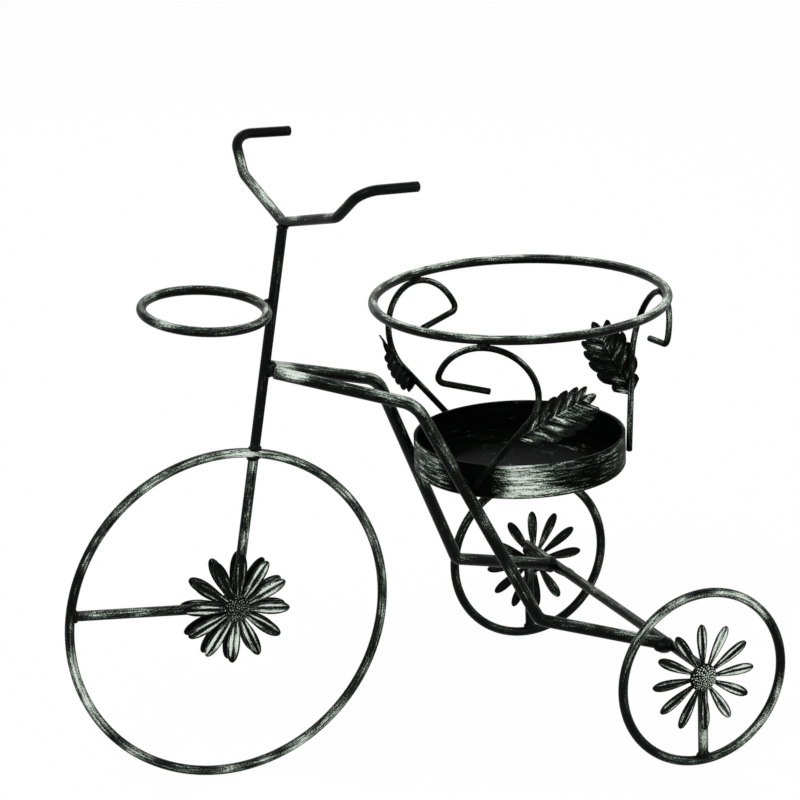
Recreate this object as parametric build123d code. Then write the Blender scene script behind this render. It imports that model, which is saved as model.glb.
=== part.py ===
from build123d import *
import math
import os

# Bicycle planter: a welded steel rod tricycle that holds one flower pot.
# Millimetres and degrees. Front is -X, the rider's right is +Y, up is +Z.
# The origin is on the floor, under the middle of the whole object.

# Rod stock
bar_rod = 8.0
ring_rod = 7.5
frame_rod = 10.0
scroll_rod = 5.0
weld_gap = 0.2

# Wheels
front_rim_radius = 129.5
rear_rim_radius = 69.0
wheelbase = 330.5
track = 314.5

# Front hub, off the middle of its rim as the rods were welded
hub_setback = 5.3
hub_rise = 4.3
hub_stub = 7.0
forward_spoke_rise = 7.0

# Steering column and handlebar
column_lean = 10.25
handlebar_height = 438.5
handlebar_turn = 4.0
arm_setback = 6.0
arm_reach = 81.0
arm_rise = 20.0
riser_setback = 12.5
riser_reach = 110.0
riser_rise = 45.0
grip_setback = 60.0
grip_reach = 108.5
grip_rise = 41.5
arm_bend = 20.0
grip_bend = 16.0
neck_bend = 9.0

# Cup ring in front of the column
cup_ring_radius = 47.5
cup_ring_height = 375.5
cup_ring_nod = 3.5
cup_ring_roll = 5.0

# Frame bars from the column, past the tray, to the axle
bar_start_height = 326.0
bar_start_overrun = 2.4
bar_spread = 14.8
shoulder_setback = 147.8
shoulder_height = 290.0
knee_setback = 228.8
knee_reach = 78.7
tail_reach = 104.5
tail_fall = 17.2
shoulder_bend = 26.0
knee_bend = 24.0

# Rear axle
axle_height = 81.0

# Drip tray, which stands against the two frame bars
tray_radius = 84.0
tray_depth = 28.0
tray_drop = 110.0
tray_wall = 1.2
tray_corner = 3.5
tray_hem = 1.4
tray_step_radius = 52.0
tray_step_height = 1.6

# Pot ring, above the shoulders of the bars and the rim of the tray
pot_ring_rise = 60.5
pot_ring_offset = 3.5
pot_ring_radius = 115.5

# Scrolls between the tray and the pot ring
scroll_count = 3
scroll_step = 122.0
scroll_bar_lead = 15.0
scroll_radius_share = 0.3235
scroll_head_offset = -1.5
scroll_foot_depth = 18.5
scroll_foot_offset = 19.0
curl_end_angle = 160.0
curl_bend = 5.0
hook_share = 0.911
hook_fall = 9.0

# Pressed flowers
petal_count = 12
petal_length = 32.0
front_petal_width = 10.4
rear_petal_width = 8.6
petal_sheet = 1.2
petal_root_overlap = 3.0
groove_depth = 0.7
ridge_share = 0.5
# Each kind of petal: the width of its root, and how far along it is widest
front_petal_shares = (0.44, 0.6)
rear_petal_shares = (0.34, 0.68)
flower_disc_radius = 12.0
button_radius = 11.0
button_height = 7.0
front_flower_turn = 8.5
rear_flower_turn = -1.5
# Each rear flower's place, behind and above the middle of its rim
rear_flower_offsets = {"left": (-2.0, 1.8), "right": (7.5, -7.5)}

# Pressed leaves on the scroll stems
leaf_sheet = 1.2
leaf_length_share = 0.557
leaf_half_width_share = 0.287
leaf_fold = 12.0
leaf_core_share = 0.62
lobe_width_share = 0.1235
lobe_angle = 38.0
# Each lobe pair: where it starts along the midrib, and how far out it reaches
lobe_shares = [(0.04, 0.62), (0.13, 0.84), (0.24, 0.97), (0.36, 1.0), (0.48, 0.95), (0.6, 0.83), (0.72, 0.64)]
rib_diameter = 2.2
# Each leaf: its place along the stem, how much of its sheet's thickness the stem presses into,
# then its way and its face's way as outward, along, up
leaf_place_shares = [
    (0.64, 0, (-0.29, 0.61, 0.74), (-0.2, -0.93, 0.3)),
    (0.76, 0, (-0.22, 0.67, 0.71), (-0.7, -0.6, 0.36)),
    (0.75, 1, (-0.31, 0.83, 0.46), (0.72, -0.06, 0.69)),
]

# Places worked out from the sizes above
front_rim_height = front_rim_radius + ring_rod / 2
rear_rim_height = rear_rim_radius + ring_rod / 2
front_x = (front_rim_height - wheelbase - rear_rim_height) / 2
rear_x = front_x + wheelbase
hub = Vector(front_x + hub_setback, 0, front_rim_height + hub_rise)
column_way = Vector(math.sin(math.radians(column_lean)), 0, math.cos(math.radians(column_lean)))
forward_way = Vector(
    -math.cos(math.radians(forward_spoke_rise)), 0, math.sin(math.radians(forward_spoke_rise))
)
sides = {"left": -1, "right": 1}
pot_ring_height = shoulder_height + pot_ring_rise
tray_rim_height = pot_ring_height - tray_drop


def rod(start, end, diameter):
    """A straight round rod between the centres of its two ends."""
    ends = (Align.CENTER, Align.CENTER, Align.MIN)
    return Plane(origin=start, z_dir=end - start) * Cylinder(diameter / 2, (end - start).length, align=ends)


def bent_rod(points, bends, diameter):
    """A round rod bent at each inner point, with one bend radius for each."""
    path = FilletPolyline(*points, radius=bends)
    section = Plane(origin=path @ 0, z_dir=path % 0) * Circle(diameter / 2)
    return sweep(section, path=path)


def butt_distance(way, other_way, diameter, other_diameter):
    """How far from another rod's axis a rod has to end, to butt against its side."""
    turn = math.radians(way.get_angle(other_way))
    return (other_diameter / 2 + weld_gap) / math.sin(turn) + diameter / 2 * abs(math.cos(turn) / math.sin(turn))


def on_column(height):
    """The point of the column's axis at a height above the floor."""
    return hub + column_way * ((height - hub.Z) / column_way.Z)


def reach_to_rim(way):
    """How far the front rim's centre line lies from the hub along a way."""
    offset = hub - Vector(front_x, 0, front_rim_height)
    along = offset.dot(way)
    return -along + math.sqrt(along**2 + front_rim_radius**2 - offset.dot(offset))


def upright_ring(centre, radius):
    """A wheel rim: a closed ring of rod that stands in the XZ plane."""
    return Plane(origin=centre, z_dir=(0, 1, 0)) * Torus(radius, ring_rod / 2)


def front_wheel():
    """The rim and its two spokes, one of them in line with the column."""
    inside = ring_rod / 2 + weld_gap
    upright_top = hub + column_way * (reach_to_rim(column_way) - inside)
    upright_foot = hub - column_way * hub_stub
    forward_start = hub + forward_way * butt_distance(forward_way, column_way, bar_rod, bar_rod)
    forward_end = hub + forward_way * (reach_to_rim(forward_way) - inside)
    return {
        "front_wheel_rim": upright_ring(Vector(front_x, 0, front_rim_height), front_rim_radius),
        "front_wheel_upright_spoke": rod(upright_foot, upright_top, bar_rod),
        "front_wheel_forward_spoke": rod(forward_start, forward_end, bar_rod),
    }


def steering_column():
    """The rod that stands on the rim and carries the handlebar."""
    outside = ring_rod / 2 + weld_gap
    foot = hub + column_way * (reach_to_rim(column_way) + outside)
    top = on_column(handlebar_height) - column_way * (bar_rod / 2 + weld_gap)
    return rod(foot, top, bar_rod)


def handlebar():
    """One rod bent up from the column to two swept-back grips."""
    stations = [
        (arm_setback, arm_reach, arm_rise),
        (riser_setback, riser_reach, riser_rise),
        (grip_setback, grip_reach, grip_rise),
    ]
    left = [Vector(back, -out, up) for back, out, up in reversed(stations)]
    right = [Vector(back, out, up) for back, out, up in stations]
    turned = [point.rotate(Axis.Z, handlebar_turn) for point in left + [Vector(0, 0, 0)] + right]
    centre = on_column(handlebar_height)
    bends = [grip_bend, arm_bend, neck_bend, arm_bend, grip_bend]
    return bent_rod([centre + point for point in turned], bends, bar_rod)


def cup_ring():
    """The small ring for a cup, welded to the front of the column."""
    back = Vector(math.cos(math.radians(cup_ring_nod)), 0, -math.sin(math.radians(cup_ring_nod)))
    across = Vector(0, math.cos(math.radians(cup_ring_roll)), math.sin(math.radians(cup_ring_roll)))
    beside = ((bar_rod + ring_rod) / 2 + weld_gap) / math.cos(math.radians(column_lean))
    seat = on_column(cup_ring_height) - Vector(beside, 0, 0)
    plane = Plane(origin=seat - back * cup_ring_radius, x_dir=back, z_dir=back.cross(across))
    return plane * Torus(cup_ring_radius, ring_rod / 2)


def bar_corners(side):
    """The start, the shoulder, the knee and the tail of one frame bar's centre line."""
    start = on_column(bar_start_height)
    spread = math.tan(math.radians(bar_spread))
    beside = ((bar_rod + frame_rod) / 2 + weld_gap) / math.cos(math.radians(bar_spread))
    shoulder_x = front_x + shoulder_setback
    shoulder = Vector(shoulder_x, side * (beside + (shoulder_x - start.X) * spread), shoulder_height)
    tail = Vector(rear_x, side * tail_reach, axle_height)
    knee_x = front_x + knee_setback
    knee_z = tail.Z + (tail.X - knee_x) * math.tan(math.radians(tail_fall))
    return Vector(start.X, side * beside, start.Z), shoulder, Vector(knee_x, side * knee_reach, knee_z), tail


def frame_bar(side):
    """One bar from the column, over the shoulder and the knee, to the axle."""
    start, shoulder, knee, tail = bar_corners(side)
    start -= (shoulder - start).normalized() * bar_start_overrun
    tail_way = (tail - knee).normalized()
    tail -= tail_way * butt_distance(tail_way, Vector(0, 1, 0), frame_rod, bar_rod)
    return bent_rod([start, shoulder, knee, tail], [shoulder_bend, knee_bend], frame_rod)


def tray_seat():
    """Where the tray's axis stands and where a bar passes it, with the tray against both bars."""
    start, shoulder, knee, tail = bar_corners(1)
    way = (knee - shoulder).normalized()
    height = tray_rim_height - tray_depth + tray_corner
    beside = shoulder + way * ((height - shoulder.Z) / way.Z)
    lean = 1.0
    for step in range(4):
        reach = tray_radius - tray_corner + (tray_corner + frame_rod / 2 + weld_gap) / lean
        setback = math.sqrt(reach**2 - beside.Y**2)
        inward = (way.X * setback - way.Y * beside.Y) / reach
        lean = abs(way.Z) / math.hypot(way.Z, inward)
    return beside.X + setback, beside


tray_x, tray_contact = tray_seat()
pot_ring_x = tray_x + pot_ring_offset

# What stands between the tray and the pot ring follows the rise from one to the other
scroll_rise = pot_ring_height - (ring_rod + scroll_rod) / 2 - weld_gap - tray_rim_height + scroll_foot_depth
scroll_radius = scroll_rise * scroll_radius_share
leaf_length = scroll_rise * leaf_length_share
leaf_half_width = leaf_length * leaf_half_width_share
lobe_width = leaf_length * lobe_width_share
# The left bar passes the tray at this angle, and the last scroll stands just behind it
bar_angle = 180 + math.degrees(math.atan2(tray_contact.Y, tray_x - tray_contact.X))
scroll_angles = [
    bar_angle + scroll_bar_lead + (index + 1 - scroll_count) * scroll_step for index in range(scroll_count)
]


def rear_axle():
    """The straight axle between the backs of the two rear flowers."""
    half = track / 2 + bar_rod / 2
    return rod(Vector(rear_x, -half, axle_height), Vector(rear_x, half, axle_height), bar_rod)


def rear_wheel(name):
    """A rear rim and its one spoke, which stands under the axle."""
    plane_y = sides[name] * track / 2
    foot = Vector(rear_x, plane_y, ring_rod + weld_gap)
    top = Vector(rear_x, plane_y, axle_height - bar_rod / 2 - weld_gap)
    return {
        "rear_wheel_rim_" + name: upright_ring(Vector(rear_x, plane_y, rear_rim_height), rear_rim_radius),
        "rear_wheel_spoke_" + name: rod(foot, top, bar_rod),
    }


def drip_tray():
    """A round pressed tray: an open pan with a rounded foot, a hemmed rim and a raised floor."""
    upward = (Align.CENTER, Align.CENTER, Align.MIN)
    bottom = Plane(origin=(tray_x, 0, tray_rim_height - tray_depth))
    block = bottom * Cylinder(tray_radius, tray_depth, align=upward)
    block = fillet(block.edges().group_by(Axis.Z)[0], tray_corner)
    pan = offset(block, amount=-tray_wall, openings=block.faces().sort_by(Axis.Z)[-1])
    hem_plane = Plane(origin=(tray_x, 0, tray_rim_height - tray_hem))
    hem = hem_plane * Torus(tray_radius - tray_hem, tray_hem)
    step = bottom * Pos(0, 0, tray_wall) * Cylinder(tray_step_radius, tray_step_height, align=upward)
    return pan + hem + step


def pot_ring():
    """The wide level ring that the pot hangs in."""
    return Plane(origin=(pot_ring_x, 0, pot_ring_height)) * Torus(pot_ring_radius, ring_rod / 2)


def scroll_frame(angle):
    """The leaning plane of one scroll, with its origin at the scroll's foot."""
    outward = Vector(math.cos(math.radians(angle)), math.sin(math.radians(angle)), 0)
    along = Vector(-outward.Y, outward.X, 0)
    beside = tray_radius + scroll_rod / 2 + weld_gap
    foot_radius = math.sqrt(beside**2 - scroll_foot_offset**2)
    foot = Vector(tray_x, 0, tray_rim_height - scroll_foot_depth) + outward * foot_radius
    under = (ring_rod + scroll_rod) / 2 + weld_gap
    top = Vector(pot_ring_x, 0, pot_ring_height - under) + outward * pot_ring_radius
    return Plane(origin=foot, x_dir=along, z_dir=along.cross(top - foot)), (top - foot).length


def scroll_stem(height):
    """The stem's foot, its top and its slope, in the scroll's own plane."""
    middle = Vector(scroll_head_offset, height - scroll_radius)
    foot = Vector(-scroll_foot_offset, 0)
    reach = (middle - foot).length
    slope = math.degrees(math.atan2(middle.Y - foot.Y, middle.X - foot.X) - math.asin(scroll_radius / reach))
    stem = Vector(math.sqrt(reach**2 - scroll_radius**2), 0).rotate(Axis.Z, slope)
    return foot, foot + stem, slope


def scroll(angle, clearance=0):
    """One scroll: a straight stem, a round head and a hook turned back inside it."""
    plane, height = scroll_frame(angle)
    foot, top, slope = scroll_stem(height)
    middle = Vector(scroll_head_offset, height - scroll_radius)
    head = CenterArc(middle, scroll_radius, slope - 90, curl_end_angle - slope + 90)
    inner = scroll_radius - curl_bend
    corner = middle + Vector(inner, 0).rotate(Axis.Z, curl_end_angle)
    tip_bend = CenterArc(corner, curl_bend, curl_end_angle, 270 - hook_fall - curl_end_angle)
    hook_way = Vector(scroll_radius * hook_share, 0).rotate(Axis.Z, -hook_fall)
    stem = Line(foot, head @ 0)
    hook = Line(tip_bend @ 1, tip_bend @ 1 + hook_way)
    path = plane * Wire([stem, head, tip_bend, hook])
    section = Plane(origin=path @ 0, z_dir=path % 0) * Circle(scroll_rod / 2 + clearance)
    return sweep(section, path=path)


def petal_outline(petal_width, petal_shares):
    """A long petal with a round end, lying along +X."""
    root_share, wide_share = petal_shares
    half = petal_width / 2
    root = Vector(flower_disc_radius - petal_root_overlap, root_share * half)
    wide = Vector(flower_disc_radius + wide_share * petal_length, half)
    end_length = (1 - wide_share) * petal_length
    end = EllipticalCenterArc((wide.X, 0), end_length, half, start_angle=-90, arc_size=180)
    upper = TangentArc(wide, root, tangent=(-1, 0))
    lower = TangentArc((wide.X, -wide.Y), (root.X, -root.Y), tangent=(-1, 0))
    return make_face([end, upper, lower, Line(root, (root.X, -root.Y))])


def petal(petal_width, petal_shares):
    """One petal of folded sheet, with two ridges and a groove between them, along +X."""
    half = petal_width / 2
    steps = [(-1, 0), (-ridge_share, groove_depth), (0, 0), (ridge_share, groove_depth), (1, 0)]
    over = [(share * half, rise + petal_sheet) for share, rise in steps]
    under = [(share * half, rise) for share, rise in reversed(steps)]
    section = Plane.YZ * make_face(Polyline(*over, *under, close=True))
    strip = extrude(section, amount=flower_disc_radius + petal_length)
    return strip & extrude(petal_outline(petal_width, petal_shares), amount=groove_depth + petal_sheet)


def flower(centre, outward, turn, petal_width, petal_shares):
    """A pressed daisy: a disc and its petals, facing along the outward way."""
    plane = Plane(origin=centre, x_dir=(1, 0, 0), z_dir=outward)
    disc = Cylinder(flower_disc_radius, petal_sheet, align=(Align.CENTER, Align.CENTER, Align.MIN))
    one_petal = petal(petal_width, petal_shares)
    for index in range(petal_count):
        disc += Rot(0, 0, turn + index * 360 / petal_count) * one_petal
    seat = Pos(0, 0, petal_sheet) * Cylinder(
        button_radius + weld_gap, button_height, align=(Align.CENTER, Align.CENTER, Align.MIN)
    )
    return plane * (disc - seat)


def flower_button(centre, outward):
    """The domed seed head on the middle of a flower."""
    ball_radius = (button_radius**2 + button_height**2) / (2 * button_height)
    ball = Pos(0, 0, button_height - ball_radius) * Sphere(ball_radius)
    slab = Cylinder(button_radius + ball_radius, button_height, align=(Align.CENTER, Align.CENTER, Align.MIN))
    return Plane(origin=centre + outward * petal_sheet, x_dir=(1, 0, 0), z_dir=outward) * (ball & slab)


def leaf_blade():
    """A folded leaf along +Y, with rounded lobes on both sides of a midrib."""
    core_length = leaf_length * leaf_core_share
    blank = Pos(0, leaf_length / 2) * Rot(0, 0, 90) * SlotOverall(leaf_length, lobe_width)
    blank += Pos(0, core_length / 2 + lobe_width / 2) * Ellipse(leaf_half_width * leaf_core_share, core_length / 2)
    way = Vector(math.cos(math.radians(lobe_angle)), math.sin(math.radians(lobe_angle)))
    for start_share, reach_share in lobe_shares:
        length = leaf_half_width * reach_share / way.X - lobe_width / 2
        for side in sides.values():
            middle = Vector(0, leaf_length * start_share) + Vector(side * way.X, way.Y) * (length / 2)
            blank += Pos(middle.X, middle.Y) * Rot(0, 0, side * lobe_angle) * SlotCenterToCenter(length, lobe_width)
    drop = leaf_half_width * math.tan(math.radians(leaf_fold))
    over = [(-leaf_half_width, leaf_sheet - drop), (0, leaf_sheet), (leaf_half_width, leaf_sheet - drop)]
    under = [(leaf_half_width, -drop), (0, 0), (-leaf_half_width, -drop)]
    folded = extrude(Plane.XZ * make_face(Polyline(*over, *under, close=True)), amount=-leaf_length)
    blade = folded & extrude(Pos(0, 0, -drop) * blank, amount=drop + leaf_sheet)
    rib_foot = Vector(0, rib_diameter, leaf_sheet)
    rib_tip = Vector(0, leaf_length - lobe_width, leaf_sheet)
    return blade + rod(rib_foot, rib_tip, rib_diameter)


def leaf(angle, place):
    """One leaf, seated beside the stem of the scroll at this angle."""
    stem_share, pressed_share, way, face = place
    plane, height = scroll_frame(angle)
    foot, top, slope = scroll_stem(height)
    stem_foot = (plane * Pos(foot.X, foot.Y)).position
    stem_top = (plane * Pos(top.X, top.Y)).position
    stem_way = (stem_top - stem_foot).normalized()
    outward = Vector(math.cos(math.radians(angle)), math.sin(math.radians(angle)), 0)
    local = (outward, Vector(-outward.Y, outward.X, 0), Vector(0, 0, 1))
    length_way = sum((axis * part for axis, part in zip(local, way)), Vector()).normalized()
    face_way = sum((axis * part for axis, part in zip(local, face)), Vector())
    across = length_way.cross(face_way).normalized()
    normal = across.cross(length_way)
    aside = (normal - stem_way * normal.dot(stem_way)).normalized()
    below = (scroll_rod + rib_diameter) / 2 + leaf_sheet * (1 - pressed_share)
    base = stem_foot + (stem_top - stem_foot) * stem_share - aside * below
    return Plane(origin=base, x_dir=across, z_dir=normal) * leaf_blade() - scroll(angle, weld_gap)


def parts_by_name():
    """Every piece of the planter under its own name."""
    parts = front_wheel()
    parts["steering_column"] = steering_column()
    parts["handlebar"] = handlebar()
    parts["cup_ring"] = cup_ring()
    parts["rear_axle"] = rear_axle()
    parts["drip_tray"] = drip_tray()
    parts["pot_ring"] = pot_ring()
    for name, side in sides.items():
        outward = Vector(0, side, 0)
        parts["frame_bar_" + name] = frame_bar(side)
        parts.update(rear_wheel(name))
        front_seat = hub + outward * (bar_rod / 2 + weld_gap)
        turn = side * front_flower_turn
        front_flower = flower(front_seat, outward, turn, front_petal_width, front_petal_shares)
        parts["front_flower_" + name] = front_flower
        parts["front_flower_button_" + name] = flower_button(front_seat, outward)
        setback, rise = rear_flower_offsets[name]
        rear_seat = Vector(rear_x + setback, 0, rear_rim_height + rise)
        rear_seat += outward * (track / 2 + bar_rod / 2 + weld_gap)
        turn = side * rear_flower_turn
        rear_flower = flower(rear_seat, outward, turn, rear_petal_width, rear_petal_shares)
        parts["rear_flower_" + name] = rear_flower
        parts["rear_flower_button_" + name] = flower_button(rear_seat, outward)
    for number, (angle, place) in enumerate(zip(scroll_angles, leaf_place_shares), start=1):
        parts["scroll_" + str(number)] = scroll(angle)
        parts["leaf_" + str(number)] = leaf(angle, place)
    return parts


os.makedirs("parts", exist_ok=True)
for part_name, piece in parts_by_name().items():
    export_step(piece, "parts/" + part_name + ".step")
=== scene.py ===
import math
import random

import bpy
from mathutils import Matrix, Vector, noise


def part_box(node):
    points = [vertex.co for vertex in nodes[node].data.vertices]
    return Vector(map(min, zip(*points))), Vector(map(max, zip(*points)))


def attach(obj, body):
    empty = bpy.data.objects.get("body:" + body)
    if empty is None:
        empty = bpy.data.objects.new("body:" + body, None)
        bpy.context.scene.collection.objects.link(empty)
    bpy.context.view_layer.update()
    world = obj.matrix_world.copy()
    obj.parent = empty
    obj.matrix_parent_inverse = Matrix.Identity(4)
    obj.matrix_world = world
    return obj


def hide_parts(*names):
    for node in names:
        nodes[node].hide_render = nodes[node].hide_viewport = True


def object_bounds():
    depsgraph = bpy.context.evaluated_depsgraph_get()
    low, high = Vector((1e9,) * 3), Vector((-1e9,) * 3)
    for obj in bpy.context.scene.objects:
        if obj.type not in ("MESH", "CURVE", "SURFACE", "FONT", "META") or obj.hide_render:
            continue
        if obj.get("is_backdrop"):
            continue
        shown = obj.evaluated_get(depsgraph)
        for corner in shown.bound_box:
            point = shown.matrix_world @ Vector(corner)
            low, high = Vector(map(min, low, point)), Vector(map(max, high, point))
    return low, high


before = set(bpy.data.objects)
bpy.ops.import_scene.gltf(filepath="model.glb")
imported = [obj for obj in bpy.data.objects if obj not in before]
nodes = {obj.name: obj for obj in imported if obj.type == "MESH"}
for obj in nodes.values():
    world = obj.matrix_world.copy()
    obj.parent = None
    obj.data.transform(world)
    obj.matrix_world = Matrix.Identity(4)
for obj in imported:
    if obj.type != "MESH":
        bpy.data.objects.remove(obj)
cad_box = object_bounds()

# Metres. Front is -X, the rider's right is +Y, up is +Z, and the floor is at zero.
MM = 0.001
sides = {"left": -1, "right": 1}
ACROSS = Vector((0, 1, 0))
UPRIGHT = Vector((0, 0, 1))

# Rod stock and the gap that a weld fills
BAR_ROD = 8.0 * MM
RING_ROD = 7.5 * MM
FRAME_ROD = 10.0 * MM
SCROLL_ROD = 5.0 * MM
WELD_GAP = 0.2 * MM

# How finely rods are meshed, and how far their ends are broken
ARC_STEP = 1.5 * MM
RUN_STEP = 6.0 * MM
ROD_SIDES = 28
END_CHAMFER = 0.6 * MM

# Handlebar, with its stations' setback, reach and rise from its middle, and its bends, in millimetres
HANDLEBAR_HEIGHT = 438.5 * MM
HANDLEBAR_TURN = math.radians(4.0)
HANDLEBAR_STATIONS = [(6.0, 81.0, 20.0), (12.5, 110.0, 45.0), (60.0, 108.5, 41.5)]
HANDLEBAR_BENDS = [16.0, 20.0, 9.0, 20.0, 16.0]
GRIP_LENGTH = 50.0 * MM
GRIP_FADE = 12.0 * MM

# Hub, column, forward spoke and cup ring
HUB_SETBACK = 5.3 * MM
HUB_RISE = 4.3 * MM
COLUMN_LEAN = math.radians(10.25)
FORWARD_SPOKE_RISE = math.radians(7)
CUP_RING_HEIGHT = 375.5 * MM

# Frame bars
BAR_START_HEIGHT = 326.0 * MM
BAR_START_SETBACK = 4.0 * MM
BAR_SPREAD = math.radians(14.8)
SHOULDER_SETBACK = 147.8 * MM
SHOULDER_HEIGHT = 290.0 * MM
KNEE_SETBACK = 228.8 * MM
KNEE_REACH = 78.7 * MM
TAIL_REACH = 104.5 * MM
TAIL_FALL = math.radians(17.2)
SHOULDER_BEND = 26.0 * MM
KNEE_BEND = 11.0 * MM
# The bars' silver, and the place, width and height of the patches at the start and the shoulder
FRAME_SILVER = 0.95
START_PATCH = (16.0 * MM, 12.0 * MM, 0.5)
SHOULDER_PATCH_WIDTH = 30.0 * MM
SHOULDER_PATCH_HEIGHT = 0.15

# Scrolls
SCROLL_ANGLES = [math.radians(-10.986), math.radians(111.014), math.radians(233.014)]
SCROLL_RADIUS = 39.5 * MM
SCROLL_HEAD_OFFSET = -1.5 * MM
SCROLL_FOOT_DEPTH = 18.5 * MM
SCROLL_FOOT_OFFSET = 19.0 * MM
CURL_END = math.radians(160.0)
CURL_BEND = 5.0 * MM
HOOK_LENGTH = 36.0 * MM
HOOK_FALL = math.radians(9.0)
HEAD_STEPS = 60
CURL_STEPS = 10

# Tray
TRAY_RADIUS = 84.0 * MM
TRAY_STEP_RADIUS = 52.0 * MM
STEP_EDGE_WIDTH = 1.0 * MM
# How far inside the tray's radius the wall's silver starts and is full
WALL_START = 1.1 * MM
WALL_FULL = 0.5 * MM
TRAY_SILVER = -0.18
WALL_SILVER = 0.30
STEP_SILVER = 0.45

# Pressed flowers
PETALS = 12
PETAL_SHEET = 1.2 * MM
UNDERSIDE_DROP = PETAL_SHEET * 0.8
DISC_RADIUS = 12.0 * MM
DISC_SHOWN = 11.4 * MM
DISC_SEGMENTS = 48
PETAL_LENGTH = 32.0 * MM
PETAL_ROOT_OVERLAP = 3.0 * MM
PETAL_EDGE = 0.1 * MM
GROOVE_DEPTH = 0.9 * MM
FRONT_PETAL_WIDTH = 10.4 * MM
REAR_PETAL_WIDTH = 8.6 * MM
# A petal's width at its root as a share of its greatest, and where along it that greatest width lies
FRONT_PETAL_SHARES = (0.4, 0.6)
REAR_PETAL_SHARES = (0.3, 0.68)
FRONT_TURN = math.radians(8.5)
REAR_TURN = math.radians(-1.5)
REAR_OFFSETS = {"left": (-2.0 * MM, 1.8 * MM), "right": (7.5 * MM, -7.5 * MM)}
PETAL_ROWS = 16
PETAL_COLUMNS = 13
# Powers for a petal's widening, tip, row spacing and ridge ends, and how early the ridges end
WIDENING_POWER = 1.3
TIP_POWER = 2.2
ROW_POWER = 1.2
RIDGE_END_POWER = 0.45
RIDGE_RUN = 1.02
# The narrowness of the silver on a ridge, and what the rest of the flower counts as
RIDGE_SILVER_POWER = 1.6
UNDERSIDE_RAISED = 0.2
DISC_RAISED = 0.3
DISC_BRUSH = 0.6
# How much silver each petal gets as painted highlight and reflection, set by where the light falls,
# anticlockwise from the one that points to the rear
FRONT_PETAL_HIGHLIGHTS = [1.0, 1.05, 1.0, 0.6, 0.55, 0.6, 0.9, 1.0, 1.0, 0.95, 0.8, 0.9]
REAR_PETAL_HIGHLIGHTS = [0.9, 0.8, 1.0, 0.8, 0.7, 0.65, 0.7, 0.8, 0.75, 0.7, 0.75, 0.65]

# Seed heads
BUTTON_RADIUS = 11.0 * MM
BUTTON_HEIGHT = 7.0 * MM
DOME_RINGS = 10
DOME_SEGMENTS = 40
BEADS = 110
BEAD_RADIUS = 0.86 * MM
BEAD_RINGS = 4
BEAD_SEGMENTS = 8
BEAD_SWEEP = math.radians(100)
DOME_INSET = BEAD_RADIUS * 0.55
BEAD_EDGE = BEAD_RADIUS * 0.9
# How far the beads stray from an even spiral, and from their size
BEAD_STEPS = (0.1, 0.9)
BEAD_SWAY = 0.09
BEAD_SIZES = (0.88, 1.08)
BEAD_MOTTLE = 1.6 * MM

# Pressed leaves
LEAF_SHEET = 1.2 * MM
LEAF_LENGTH = 68.0 * MM
LEAF_HALF_WIDTH = 19.0 * MM
LEAF_FOLD = math.radians(12.0)
LEAF_LEAST_REACH = 0.3 * MM
LEAF_START_SHARE = -0.02
LEAF_END_SHARE = 0.998
LOBE_WIDTH = 8.2 * MM
LOBE_ANGLE = math.radians(41.0)
# Each side lobe: where along the leaf it starts, and its reach as a share of the half width
LOBE_SHARES = [(0.01, 0.62), (0.16, 0.92), (0.31, 1.0), (0.46, 0.98), (0.61, 0.86), (0.75, 0.66)]
# How far the notches between the lobes reach in, and the size and swelling of the lobe at the tip
NOTCH_DEPTH = 5.0 * MM
TIP_HALF_WIDTH = 5.2 * MM
TIP_LOBE_LENGTH = 16.0 * MM
TIP_NEARNESS = 0.6
TIP_HALVINGS = 24
# The swelling of the lobes, their veins and the midrib, and the silver on each
SWELL_START_SHARE = 0.12
SWELL_HEIGHT = 1.0 * MM
SWELL_SILVER = 0.62
VEIN_SHARE = 0.07
VEIN_HEIGHT = 0.35 * MM
VEIN_SILVER = 0.25
RIB_DIAMETER = 2.2 * MM
RIB_FOOT = RIB_DIAMETER * 0.6
RIB_HEIGHT = RIB_DIAMETER * 0.4
RIB_SILVER = 0.45
LEAF_HOLLOW = 0.5 * MM
BACK_RAISED = 0.25
LEAF_ROWS = 220
LEAF_COLUMNS = 15
# Each leaf: its share up the stem, the share of its sheet that the stem is pressed into, and the
# ways of its length and its face, as parts outward from the tray, around it and up
LEAF_PLACES = [
    (0.64, 0, (-0.29, 0.61, 0.74), (-0.2, -0.93, 0.3)),
    (0.76, 0, (-0.22, 0.67, 0.71), (-0.7, -0.6, 0.36)),
    (0.75, 1, (-0.31, 0.83, 0.46), (0.72, -0.06, 0.69)),
]
# How much silver each leaf gets, lower on leaf 2 as painted shade for its face in shadow, and how much it
# shines
LEAF_SILVER_SHADE_AND_GLOSS = [(0.85, 0.02), (0.65, 0.002), (1.0, 0.02)]

# Welds: half sizes along X, Y and Z, in millimetres
INNER_RIM_WELD = (5.4, 4.8, 3.2)
OUTER_RIM_WELD = (5.2, 4.8, 3.2)
FORWARD_SPOKE_WELD = (3.4, 4.8, 5.2)
BAR_START_WELD = (5.4, 8.4, 6.4)
HANDLEBAR_WELD = (4.7, 4.9, 2.6)
CUP_RING_WELD = (3.8, 4.6, 5.0)
REAR_RIM_WELD = (5.6, 4.6, 3.4)
AXLE_WELD = (5.2, 4.4, 3.6)
BAR_TAIL_WELD = (8.4, 7.4, 6.4)
SCROLL_WELD = (5.2, 5.2, 2.6)
# How far their middles lie from the places that they are named after
RIM_WELD_STEP = 3.6 * MM
BAR_START_WELD_STEP = Vector((4.2, 0, -0.8)) * MM
HANDLEBAR_WELD_DROP = 4.0 * MM
CUP_RING_WELD_STEP = Vector((-4.1 * MM, 0, 0))
REAR_RIM_WELD_RISE = 0.3 * MM
BAR_TAIL_WELD_STEP = Vector((-6.0, 0, 1.2)) * MM
SCROLL_WELD_STEP = Vector((0, 0, 2.2 * MM))
WELD_RINGS = 12
WELD_SEGMENTS = 20
WELD_BRUSH = 0.55
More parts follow.
